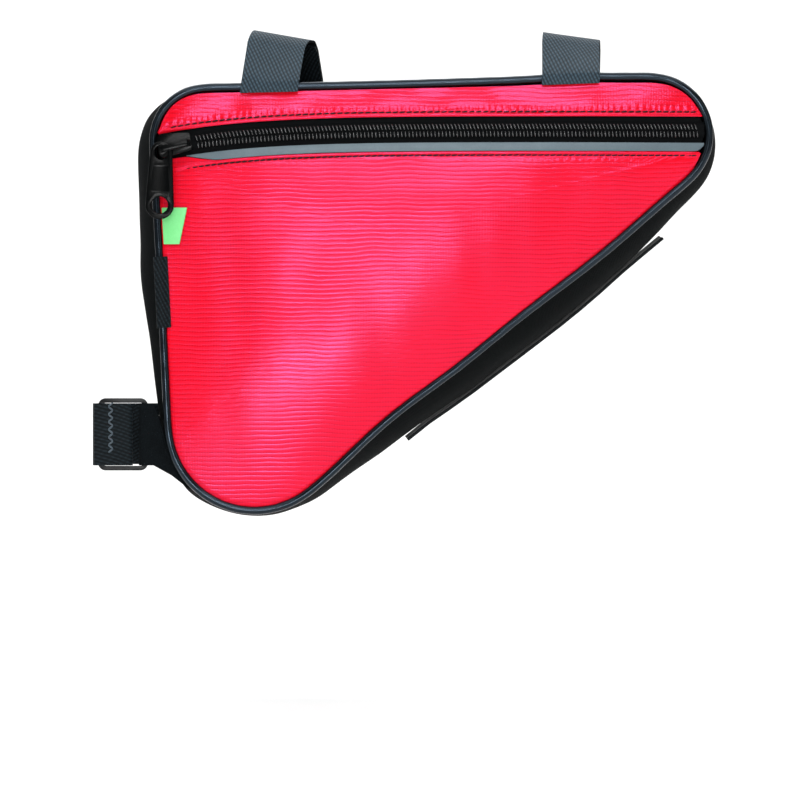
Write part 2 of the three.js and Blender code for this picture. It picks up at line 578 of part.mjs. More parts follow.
function strapRing() {
  const inside = SEAT_STRAP.width + RING.ease;
  const shape = roundedBox(RING.width, inside + 2 * RING.bar, RING.corner);
  shape.holes.push(roundedBox(RING.width - 2 * RING.bar, inside, RING.corner - RING.bar));
  return plate(shape, RING.thick, -ringBack, 4).translate(ringX, 0, strapZ);
}

// Assembly

const material = (name, color, roughness, metalness = 0) =>
  new THREE.MeshStandardMaterial({ name, color, roughness, metalness });
const CLOTH = {
  red: material('coated_cloth', COLOURS.red, 0.35),
  black: material('plain_weave', COLOURS.black, 0.85),
  webbing: material('webbing', COLOURS.webbing, 0.9),
  bead: material('piping', COLOURS.black, 0.35),
  grey: material('reflective', COLOURS.grey, 0.45),
  green: material('tag', COLOURS.green, 0.7),
  plastic: material('moulded_plastic', COLOURS.black, 0.45),
  lacquer: material('lacquered_zinc', COLOURS.black, 0.3, 0.4),
};

const bag = new THREE.Group();
bag.name = 'frame_bag';

function add(group, name, geometry, finish) {
  const mesh = new THREE.Mesh(geometry, finish);
  mesh.name = name;
  group.add(mesh);
}

function group(...pieces) {
  const made = new THREE.Group();
  for (const [name, geometry, finish] of pieces) add(made, name, geometry, finish);
  bag.add(made);
}

const fronts = frontPieces();
const finishes = { front_top_panel: CLOTH.red, front_panel: CLOTH.red, reflective_strip: CLOTH.grey,
  zip_tape_upper: CLOTH.black, zip_tape_lower: CLOTH.black };
group(...Object.entries(fronts).map(([name, solid]) => [name, toGeometry(solid), finishes[name]]));
group(
  ['rear_panel', faceSheet(1, BAG.wall / 2, -BAG.wall / 2), CLOTH.red],
  ['gusset', gusset(), CLOTH.black],
  ['gusset_flap', gussetFlap(), CLOTH.black],
  ['front_piping', bead(-1), CLOTH.bead],
  ['rear_piping', bead(1), CLOTH.bead],
  ['piping_joint_tape', pipingJointTape(), CLOTH.webbing],
  ['label_tab', labelTab(), CLOTH.green],
);
group(
  ['zip_coil', zipCoil(), CLOTH.plastic],
  ['zip_slider', zipSlider(), CLOTH.lacquer],
  ['zip_pull', zipPull(), CLOTH.lacquer],
);
group(...TOP_STRAPS.flatMap((strap) => [
  [`top_strap_${strap.name}`, topStrap(strap, 1), CLOTH.webbing],
  [`top_tab_${strap.name}`, topStrap(strap, 0), CLOTH.webbing],
]));
group(
  ['seat_strap', seatStrap(), CLOTH.webbing],
  ['ring_tab', ringTab(), CLOTH.webbing],
  ['strap_ring', strapRing(), CLOTH.plastic],
);

export default bag;
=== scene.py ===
"""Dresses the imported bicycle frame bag: cloth, webbing, zip, straps and trim, with its camera and studio."""

import logging
import math
from dataclasses import dataclass
from enum import Enum
from typing import Callable, Sequence

import bmesh
import bpy
import numpy as np
from mathutils import Matrix, Vector, noise
from mathutils.bvhtree import BVHTree


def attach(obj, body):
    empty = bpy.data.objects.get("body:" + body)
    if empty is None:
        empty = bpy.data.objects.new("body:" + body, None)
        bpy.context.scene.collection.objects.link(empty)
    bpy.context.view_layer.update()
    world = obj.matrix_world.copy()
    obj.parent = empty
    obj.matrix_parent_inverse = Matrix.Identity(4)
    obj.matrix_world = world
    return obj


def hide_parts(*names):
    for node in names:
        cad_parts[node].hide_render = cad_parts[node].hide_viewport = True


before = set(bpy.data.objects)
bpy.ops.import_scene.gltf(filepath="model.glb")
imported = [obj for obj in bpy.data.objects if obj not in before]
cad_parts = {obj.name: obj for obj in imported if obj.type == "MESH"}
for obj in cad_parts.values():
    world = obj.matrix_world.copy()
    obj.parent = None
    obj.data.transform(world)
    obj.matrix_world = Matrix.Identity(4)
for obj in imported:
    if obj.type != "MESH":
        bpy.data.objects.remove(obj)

LOG = logging.getLogger("frame_bag")
MM = 0.001
BODY = "bag"
PULL_BODY = "pull"
WELD = 1e-6  # points nearer than this, in metres, are one
OUTSIDE = 0.25  # a ray towards the bag starts this far from its middle, in metres

Piece = bpy.types.Object
Tree = bpy.types.NodeTree
Socket = bpy.types.NodeSocket
Pair = tuple[float, float]
Triple = tuple[float, float, float]
ClothMap = Callable[[Vector], Pair]
Stitch = tuple[Vector, Vector, Vector]


class Side(Enum):
    """The face of the bag that a piece lies on, as the sign of its Y."""

    FRONT = -1
    REAR = 1


# ---------------------------------------------------------------- nodes of a material


def linear(colour: str) -> tuple[float, float, float, float]:
    """Turns an sRGB hex colour into linear RGBA.

    Args:
        colour: six hex digits after a hash sign.

    Returns:
        Linear red, green, blue and an alpha of 1.
    """
    parts = [int(colour[i : i + 2], 16) / 255 for i in (1, 3, 5)]
    flat = [c / 12.92 if c <= 0.04045 else ((c + 0.055) / 1.055) ** 2.4 for c in parts]
    return (flat[0], flat[1], flat[2], 1.0)


def add_node(tree: Tree, kind: str, settings: dict | None = None, links: dict | None = None) -> bpy.types.Node:
    """Adds one node with its settings and its links.

    Args:
        tree: the material's node tree.
        kind: the node's type.
        settings: values for its properties, or for its inputs by name or number.
        links: output sockets for its inputs, by name or number.

    Returns:
        The new node.
    """
    made = tree.nodes.new(kind)
    for key, value in (settings or {}).items():
        if isinstance(key, int) or key in made.inputs:
            made.inputs[key].default_value = value
        else:
            setattr(made, key, value)
    for key, socket in (links or {}).items():
        tree.links.new(socket, made.inputs[key])
    return made


@dataclass(frozen=True)
class Finish:
    """What every finish has: a base colour, a second tone, and the shader's own values."""

    name: str
    colour: str
    second: str
    roughness: float = 0.6
    metallic: float = 0.0
    ior: float = 1.5
    gloss_tint: str = "#FFFFFF"
    gloss: float = 0.5
    bump: float = 0.3
    depth: float = 0.1

    def material(self) -> bpy.types.Material:
        """Builds the material, or gives back the one already built."""
        found = bpy.data.materials.get(self.name)
        if found:
            return found
        made = bpy.data.materials.new(self.name)
        made.use_nodes = True
        tree = made.node_tree
        shader = tree.nodes["Principled BSDF"]
        for key, value in (
            ("Roughness", self.roughness),
            ("Metallic", self.metallic),
            ("IOR", self.ior),
            ("Specular IOR Level", self.gloss),
            ("Specular Tint", linear(self.gloss_tint)),
        ):
            shader.inputs[key].default_value = value
        height, tone = self.pattern(tree)
        colours = {"data_type": "RGBA", 6: linear(self.colour), 7: linear(self.second)}
        mixed = add_node(tree, "ShaderNodeMix", colours, {0: tone})
        relief = {"Strength": self.bump, "Distance": self.depth * MM}
        raised = add_node(tree, "ShaderNodeBump", relief, {"Height": height})
        tree.links.new(mixed.outputs[2], shader.inputs["Base Color"])
        tree.links.new(raised.outputs["Normal"], shader.inputs["Normal"])
        return made

    def pattern(self, tree: Tree) -> tuple[Socket, Socket]:
        """Adds the pattern's nodes.

        Args:
            tree: the material's node tree.

        Returns:
            The height for the bump, and the share of the second tone.
        """
        raise NotImplementedError

    def cloth_axes(self, tree: Tree) -> tuple[Socket, Socket, Socket]:
        """Gives the piece's own cloth map, in metres, as a vector and its two parts."""
        where = add_node(tree, "ShaderNodeTexCoord")
        parts = add_node(tree, "ShaderNodeSeparateXYZ", links={0: where.outputs["UV"]})
        return where.outputs["UV"], parts.outputs[0], parts.outputs[1]

    def reckon(self, tree: Tree, operation: str, settings: dict, links: dict) -> Socket:
        """Adds one step of arithmetic and gives its result."""
        return add_node(tree, "ShaderNodeMath", {"operation": operation, **settings}, links).outputs[0]

    def wave(self, tree: Tree, value: Socket, pitch: float) -> Socket:
        """Gives a sine of value that repeats every pitch millimetres, from -1 to 1."""
        phase = self.reckon(tree, "MULTIPLY", {1: 2 * math.pi / (pitch * MM)}, {0: value})
        return self.reckon(tree, "SINE", {}, {0: phase})

    def lifted(self, tree: Tree, wave: Socket, rise: float = 0.5) -> Socket:
        """Lifts a wave so that it ends at 1 and swings rise each way."""
        return self.reckon(tree, "MULTIPLY_ADD", {1: rise, 2: 1 - rise}, {0: wave})

    def sum_of(self, tree: Tree, parts: Sequence[tuple[Socket, float]], base: float = 0.0) -> Socket:
        """Gives base plus each socket times its weight."""
        total: Socket | None = None
        for socket, weight in parts:
            settings, links = {1: weight}, {0: socket}
            if total is None:
                settings[2] = base
            else:
                links[2] = total
            total = self.reckon(tree, "MULTIPLY_ADD", settings, links)
        return total

    def cloud(self, tree: Tree, vector: Socket, size: float, detail: float = 2.0) -> Socket:
        """Gives a soft noise whose clouds are size millimetres across."""
        settings = {"Scale": 1 / (size * MM), "Detail": detail, "Roughness": 0.55}
        return add_node(tree, "ShaderNodeTexNoise", settings, {"Vector": vector}).outputs[0]


@dataclass(frozen=True)
class CoatedRibCloth(Finish):
    """Woven polyester under a clear soft coating: a glossy skin over low ribs, in millimetres."""

    rib: float = 2.35  # drawn a little coarser than the cloth's own, so that it shows at the photo's size
    thread: float = 1.4
    narrow_rib: float = 3.0
    narrow_thread: float = 2.0
    wander: float = 45.0

    def pattern(self, tree: Tree) -> tuple[Socket, Socket]:
        """Ribs along the bag with a weaker lengthways thread, and slow clouds of deeper colour."""
        place, across, up = self.cloth_axes(tree)
        wander = self.cloud(tree, place, self.wander)
        bent = self.sum_of(tree, [(wander, 5.0 * MM), (up, 1.0)])
        grooves = self.groove(tree, self.wave(tree, bent, self.rib), self.narrow_rib)
        leaning = self.sum_of(tree, [(wander, 3.0 * MM), (across, 1.0)])
        threads = self.groove(tree, self.wave(tree, leaning, self.thread), self.narrow_thread)
        grain = self.cloud(tree, place, 1.3, 3.0)
        slow = self.cloud(tree, place, 38.0)
        height = self.sum_of(tree, [(grooves, -1.0), (threads, -0.35), (grain, 0.3)])
        # the grooves and threads pull the tone deeper: painted shade in the recesses; the clouds and grain are the
        # cloth's own tone
        tone = self.sum_of(tree, [(grooves, 0.5), (threads, 0.16), (slow, 0.8), (grain, 0.35)], -0.42)
        return height, tone

    def groove(self, tree: Tree, wave: Socket, narrow: float) -> Socket:
        """Turns a wave into narrow lines, 1 in a line's middle and 0 between lines."""
        return self.reckon(tree, "POWER", {1: narrow}, {0: self.lifted(tree, wave)})


@dataclass(frozen=True)
class PlainWeave(Finish):
    """Plain woven polyester: over-and-under threads, in millimetres, with the hollows painted darker as painted
    shade.
    """

    thread: float = 1.0  # two real threads wide, so that it shows

    def pattern(self, tree: Tree) -> tuple[Socket, Socket]:
        """A chequer of warp and weft, its raised crossings painted lighter as painted highlight and its hollows
        darker as painted shade, and a thread-by-thread change of tone.
        """
        place, across, up = self.cloth_axes(tree)
        warp = self.wave(tree, across, self.thread)
        weft = self.wave(tree, up, self.thread)
        crossed = self.reckon(tree, "MULTIPLY", {}, {0: warp, 1: weft})
        grain = self.cloud(tree, place, 0.8, 3.0)
        slow = self.cloud(tree, place, 30.0)
        height = self.sum_of(tree, [(crossed, 0.6), (grain, 0.5)])
        # the crossed term paints raised crossings lighter and hollows darker: painted highlight and painted shade
        tone = self.sum_of(tree, [(crossed, 0.2), (grain, 0.4), (slow, 0.3)], -0.1)
        return height, tone


@dataclass(frozen=True)
class TwillWebbing(Finish):
    """Woven polyester webbing: steep ribs of short raised floats, in millimetres, with a dull lustre."""

    rib: float = 1.9
    pick: float = 2.3
    lean: float = 0.5
    pick_lean: float = 0.62

    def pattern(self, tree: Tree) -> tuple[Socket, Socket]:
        """Steep ribs, broken into short raised floats by the picks that cross them; the floats are painted lighter
        as painted highlight and the gaps darker as painted shade.
        """
        place, across, along = self.cloth_axes(tree)
        ribs = self.wave(tree, self.sum_of(tree, [(across, 1.0), (along, self.lean)]), self.rib)
        picks = self.wave(tree, self.sum_of(tree, [(across, self.pick_lean), (along, -1.0)]), self.pick)
        sides = {0: self.lifted(tree, ribs), 1: self.lifted(tree, picks, 0.28)}
        floats = self.reckon(tree, "MULTIPLY", {}, sides)
        grain = self.cloud(tree, place, 0.6, 3.0)
        slow = self.cloud(tree, place, 14.0)
        height = self.sum_of(tree, [(floats, 1.0), (grain, 0.3)])
        # the floats pull the tone lighter and the gaps stay dark: painted highlight and painted shade
        tone = self.sum_of(tree, [(floats, 0.95), (grain, 0.3), (slow, 0.2)], -0.2)
        return height, tone


@dataclass(frozen=True)
class Grained(Finish):
    """A skin with no thread to it, such as vinyl, lacquer, plastic, bead tape or pile, in millimetres."""

    grain: float = 0.8
    patch: float = 9.0

    def pattern(self, tree: Tree) -> tuple[Socket, Socket]:
        """A fine grain and slow patches, on the piece's own coordinates."""
        place = add_node(tree, "ShaderNodeTexCoord").outputs["Object"]
        fine = self.cloud(tree, place, self.grain, 3.0)
        slow = self.cloud(tree, place, self.patch)
        return self.sum_of(tree, [(fine, 1.0), (slow, 0.5)]), self.sum_of(tree, [(fine, 0.5), (slow, 0.5)])


# Coated polyester: a smooth skin whose white light comes back pink, over thin ribs whose grooves are painted darker
# as painted shade.
RED_CLOTH = CoatedRibCloth(
    "red_coated_rib_cloth", "#E60C20", "#BA0816", roughness=0.2, gloss_tint="#FF90E8", bump=0.6, depth=0.07
)
# Bare polyester: nearly no gloss, so the band reads as the darkest and softest part.
BLACK_CLOTH = PlainWeave(
    "black_plain_weave", "#040606", "#0E1214", roughness=0.75, ior=1.4, gloss=0.08, bump=0.8, depth=0.25
)
# The same cloth under a thin coat: a dull shine along the flap's edge. Drawn a fifth coarser.
FLAP_CLOTH = PlainWeave(
    "black_coated_weave", "#090C0E", "#171D20",
    roughness=0.5, ior=1.4, gloss=0.15, bump=0.5, depth=0.15, thread=1.2,
)
# Tightly woven tape: flat black on both sides of the teeth, so that their glints stand out.
ZIP_TAPE = PlainWeave(
    "black_zip_tape", "#050607", "#0E1113", roughness=0.8, ior=1.4, gloss=0.1, bump=0.5, depth=0.12, thread=0.9
)
# Polyester webbing faded to slate: its raised floats are painted lighter as painted highlight, and its gaps painted
# dark as painted shade.
WEBBING = TwillWebbing(
    "slate_twill_webbing", "#121B21", "#3F5360", roughness=0.6, ior=1.4, gloss=0.3, bump=1.0, depth=0.35
)
# The same webbing unfaded: the weave only just shows.
DARK_WEBBING = TwillWebbing(
    "black_twill_webbing", "#05080A", "#1E272C", roughness=0.7, ior=1.4, gloss=0.15, bump=1.0, depth=0.35
)
# Brushed loops: light sinks in, so the straps' inner sides are black. Drawn two loops to a tuft.
PILE = Grained(
    "black_loop_pile", "#040506", "#14191C", roughness=0.95, gloss=0.05, bump=1.0, depth=0.9, grain=0.9
)
# Soft vinyl over a cord: one thin cool highlight runs along the bead.
VINYL = Grained(
    "black_vinyl_piping", "#040506", "#090C0E",
    roughness=0.2, gloss=0.4, gloss_tint="#C8E4FF", bump=0.12, depth=0.05, grain=1.6,
)
# Glass beads in grey binder: an even, slightly metallic grey from every side.
BEAD_TAPE = Grained(
    "grey_bead_tape", "#3F4D54", "#5E6E76",
    roughness=0.42, metallic=0.15, gloss=0.4, bump=0.25, depth=0.05, grain=0.7,
)
# Satin ribbon: a clear pale green with a faint tooth.
TAG = Grained("green_woven_tag", "#58C468", "#7CDA8A", roughness=0.5, bump=0.4, depth=0.1, grain=0.8)
# Polished nylon: each tooth has a small hard glint.
COIL = Grained("black_nylon_coil", "#08090A", "#101315", roughness=0.14, gloss=0.85, bump=0.05, depth=0.03)
# Moulded acetal: a low satin shine along the ring's rounded bars.
RING_PLASTIC = Grained(
    "black_moulded_acetal", "#060708", "#0D1012", roughness=0.35, gloss=0.22, bump=0.25, depth=0.06, grain=0.5
)
# Lacquered zinc: black flats, with light only on the rims and the bail.
LACQUER = Grained(
    "black_lacquered_zinc", "#020303", "#060708", roughness=0.2, gloss=0.07, bump=0.2, depth=0.05, grain=0.8
)
# Polyester thread, dark red: the hems' stitches read as dark dashes.
RED_THREAD = Grained(
    "dark_red_thread", "#14040A", "#2C060E", roughness=0.6, gloss=0.2, bump=0.3, depth=0.05, grain=0.4
)
# Polyester thread, slate: the zigzag seam reads lighter than its strap.
SLATE_THREAD = Grained("slate_thread", "#2A343C", "#56656F", roughness=0.6, bump=0.3, depth=0.05, grain=0.4)
# Matt paper: an even pale ground with no shine.
FLOOR_PAPER = Grained(
    "pale_paper_floor", "#F1F1F1", "#EDEDED", roughness=0.9, bump=0.0, depth=0.1, grain=40.0, patch=400.0
)


# ---------------------------------------------------------------- making meshes


def clear_selection() -> None:
    """Deselects everything, so that an operator acts on the new piece alone."""
    if bpy.context.object and bpy.context.object.mode != "OBJECT":
        bpy.ops.object.mode_set(mode="OBJECT")
    bpy.ops.object.select_all(action="DESELECT")


def pick(piece: Piece) -> None:
    """Makes a piece the only selected and the active object."""
    clear_selection()
    piece.select_set(True)
    bpy.context.view_layer.objects.active = piece


def edit(piece: Piece, *steps: Callable[[], object]) -> None:
    """Runs steps in edit mode, with the whole piece selected at the start."""
    pick(piece)
    bpy.ops.object.mode_set(mode="EDIT")
    bpy.ops.mesh.select_all(action="SELECT")
    for step in steps:
        step()
    bpy.ops.object.mode_set(mode="OBJECT")


def weld() -> None:
    """Joins the selected points that lie on each other."""
    bpy.ops.mesh.remove_doubles(threshold=WELD)


def face_out() -> None:
    """Turns the selected faces outwards."""
    bpy.ops.mesh.normals_make_consistent(inside=False)


def apply_modifier(piece: Piece, kind: str, **settings: object) -> None:
    """Adds a modifier with its settings and applies it.

    Args:
        piece: the mesh object.
        kind: the modifier's type.
        settings: its properties.
    """
    pick(piece)
    added = piece.modifiers.new(kind.lower(), kind)
    for key, value in settings.items():
        setattr(added, key, value)
    bpy.ops.object.modifier_apply(modifier=added.name)


def smooth(piece: Piece, degrees: float) -> None:
    """Shades a piece smooth, but for edges sharper than the angle."""
    pick(piece)
    bpy.ops.object.shade_smooth_by_angle(angle=math.radians(degrees))


def settle(piece: Piece) -> None:
    """Puts a piece's place, turn and scale into its mesh."""
    pick(piece)
    bpy.ops.object.transform_apply(location=True, rotation=True, scale=True)


def lay_grid(name: str, points: np.ndarray, cloth: np.ndarray, closed: bool = False) -> Piece:
    """Adds a grid and lays it on a surface.

    Args:
        name: the piece's name.
        points: the grid's points, in metres, by row and column.
        cloth: their places on the cloth map, in metres.
        closed: True where the rows run round and meet themselves.

    Returns:
        The new piece.
    """
    rows, columns = points.shape[0] - 1, points.shape[1] - 1
    clear_selection()
    bpy.ops.mesh.primitive_grid_add(x_subdivisions=columns, y_subdivisions=rows, size=1)
    piece = bpy.context.object
    piece.name = piece.data.name = name
    mesh = piece.data
    flat = np.empty(len(mesh.vertices) * 3)
    mesh.vertices.foreach_get("co", flat)
    shares = np.clip(flat.reshape(-1, 3)[:, :2] + 0.5, 0, 1)
    row, column = (np.rint(part).astype(int) for part in (shares[:, 1] * rows, shares[:, 0] * columns))
    mesh.vertices.foreach_set("co", points[row, column].ravel())
    corner = np.empty(len(mesh.loops), dtype=np.int32)
    mesh.loops.foreach_get("vertex_index", corner)
    mesh.uv_layers[0].data.foreach_set("uv", cloth[row[corner], column[corner]].ravel())
    mesh.update()
    if closed:
        edit(piece, weld)
    return piece


def turn_outwards(piece: Piece, outward: Vector) -> None:
    """Flips a sheet whose faces, taken together, don't point the way given."""
    total = sum((face.normal * face.area for face in piece.data.polygons), Vector())
    if total.dot(outward) < 0:
        piece.data.flip_normals()


def node_copy(name: str, node: str) -> Piece:
    """Copies a CAD node's mesh into a new piece and joins its loose triangles."""
    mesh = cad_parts[node].data.copy()
    mesh.name = name
    mesh.materials.clear()
    piece = bpy.data.objects.new(name, mesh)
    bpy.context.scene.collection.objects.link(piece)
    edit(piece, weld)
    if mesh.has_custom_normals:
        bpy.ops.mesh.customdata_custom_splitnormals_clear()
    return piece


def paint_map(piece: Piece, cloth: ClothMap) -> None:
    """Writes a piece's cloth map, in metres, from the places of its vertices."""
    mesh = piece.data
    layer = mesh.uv_layers[0] if mesh.uv_layers else mesh.uv_layers.new(name="UVMap")
    for loop in mesh.loops:
        layer.data[loop.index].uv = cloth(mesh.vertices[loop.vertex_index].co)


def finish_piece(piece: Piece, finish: Finish, body: str = BODY, nodes: Sequence[str] = ()) -> Piece:
    """Gives a piece its material and its body, and hides the nodes that it stands for.

    Args:
        piece: the piece.
        finish: its finish.
        body: the body that it rides on.
        nodes: the CAD nodes that it stands for.

    Returns:
        The same piece.
    """
    piece.data.materials.clear()
    piece.data.materials.append(finish.material())
    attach(piece, body)
    if nodes:
        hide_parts(*nodes)
    LOG.info("%s: %d faces", piece.name, len(piece.data.polygons))
    return piece


class Surface:
    """A CAD node's own surface, which a sheet is laid on."""

    def __init__(self, *nodes: str) -> None:
        """Reads the nodes' triangles."""
        points: list[Vector] = []
        faces: list[tuple[int, ...]] = []
        for name in nodes:
            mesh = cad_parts[name].data
            start = len(points)
            points += [v.co.copy() for v in mesh.vertices]
            faces += [tuple(start + i for i in p.vertices) for p in mesh.polygons]
        self.tree = BVHTree.FromPolygons(points, faces)
        cloud = np.array(points)
        self.low, self.high = cloud.min(axis=0), cloud.max(axis=0)

    def depth(self, x: float, z: float, side: Side) -> float | None:
        """Gives the surface's Y at a place, seen from one side, or None beside it."""
        hit = self.tree.ray_cast(Vector((x, side.value * OUTSIDE, z)), Vector((0, -side.value, 0)))
        return None if hit[0] is None else hit[0].y

    def reach(self, middle: Pair, angle: float, side: Side) -> float:
        """Gives how far the node's outline is from a middle point, one way."""
        near, far = 0.0, OUTSIDE
        for _ in range(18):
            tried = (near + far) / 2
            over = self.depth(middle[0] + tried * math.cos(angle), middle[1] + tried * math.sin(angle), side)
            near, far = (tried, far) if over is not None else (near, tried)
        return near

    def span(self, x: float, side: Side, step: float = 0.7 * MM) -> Pair | None:
        """Gives the lowest and highest Z of the node in one column, or None."""
        levels = np.arange(self.low[2] + step / 3, self.high[2], step)
        met = [z for z in levels if self.depth(x, z, side) is not None]
        if not met:
            return None
        ends = []
        for start, way in ((met[0], -1), (met[-1], 1)):
            near, far = start, start + way * step
            for _ in range(10):
                tried = (near + far) / 2
                near, far = (tried, far) if self.depth(x, tried, side) is not None else (near, tried)
            ends.append(near)
        return ends[0], ends[1]


def even_loop(points: np.ndarray, count: int) -> np.ndarray:
    """Places points evenly along a closed line.

    Args:
        points: the line's corners, one row each.
        count: how many are wanted; the first comes again at the end.

    Returns:
        count + 1 rows.
    """
    ring = np.vstack([points, points[:1]])
    steps = np.linalg.norm(np.diff(ring, axis=0), axis=1)
    run = np.concatenate([[0], np.cumsum(steps)])
    wanted = np.linspace(0, run[-1], count + 1)
    return np.stack([np.interp(wanted, run, ring[:, k]) for k in range(ring.shape[1])], axis=1)


def soften(line: np.ndarray, rounds: int) -> None:
    """Smooths values along their last axis, with both ends held."""
    for _ in range(rounds):
        line[..., 1:-1] = (line[..., :-2] + line[..., 2:] + 2 * line[..., 1:-1]) / 4


def soften_round(grid: np.ndarray, rounds: int, hub: bool = False) -> None:
    """Smooths a grid whose rows run round, with its rims held.

    Args:
        grid: values by row and column; each row's last is its first again.
        rounds: how often it is smoothed.
        hub: True where the first row is one point.
    """
    for _ in range(rounds):
        inner = grid[1:-1, :-1]
        around = np.roll(inner, 1, axis=1) + np.roll(inner, -1, axis=1)
        grid[1:-1, :-1] = (around + grid[:-2, :-1] + grid[2:, :-1]) / 4
        grid[1:-1, -1] = grid[1:-1, 0]
        if hub:
            grid[0] = grid[1, :-1].mean()


def dent(x: np.ndarray, z: np.ndarray, size: float, seed: float) -> np.ndarray:
    """Gives a smooth seeded noise over the face, from about -1 to 1.

    Args:
        x: places along the bag, in metres.
        z: heights, in metres.
        size: how wide a dent is, in millimetres.
        seed: which of many such noises.

    Returns:
        One value for each place.
    """
    scale = 1 / (size * MM)
    flat = [noise.noise(Vector((a * scale, b * scale, seed))) for a, b in zip(x.ravel(), z.ravel())]
    return np.array(flat).reshape(x.shape)


# ---------------------------------------------------------------- the cloth body


@dataclass(frozen=True)
class ZipLine:
    """The gently bowed line that the zip follows, and the hems beside it, in millimetres."""

    top: float = -31.6
    fall: float = 9.8
    right: float = 146.8
    length: float = 289.6
    window: float = 13.5
    strip: float = 4.5
    hem_above: float = 2.4
    hem_below: float = 2.2

    def height(self, x: np.ndarray) -> np.ndarray:
        """Gives the zip's height at places along the bag, in metres."""
        return (self.top - self.fall * ((self.right - x / MM) / self.length) ** 6) * MM

    def seam(self, x: np.ndarray, below: bool) -> np.ndarray:
        """Gives the height of the stitches above or below the zip, in metres."""
        away = -(self.window / 2 + self.strip + self.hem_below) if below else self.window / 2 + self.hem_above
        return self.height(x) + away * MM

    def hem(self, x: np.ndarray, z: np.ndarray, below: bool) -> np.ndarray:
        """Gives how proud the folded hem stands, with the stitches pulled in, in millimetres."""
        past = (z - self.seam(x, below)) / MM * (1 if below else -1)
        fold = self.hem_below if below else self.hem_above
        roll = 0.55 * np.sin(np.clip(past / fold, 0, 1) * math.pi) ** 0.8
        run = x / MM
        pucker = 0.16 * np.sin(run * 1.83 + 1.7 * np.sin(run * 0.21)) * np.exp(-((past + 1.6) / 1.7) ** 2)
        return roll - 0.4 * np.exp(-((past / 0.55) ** 2)) + pucker


ZIP_LINE = ZipLine()


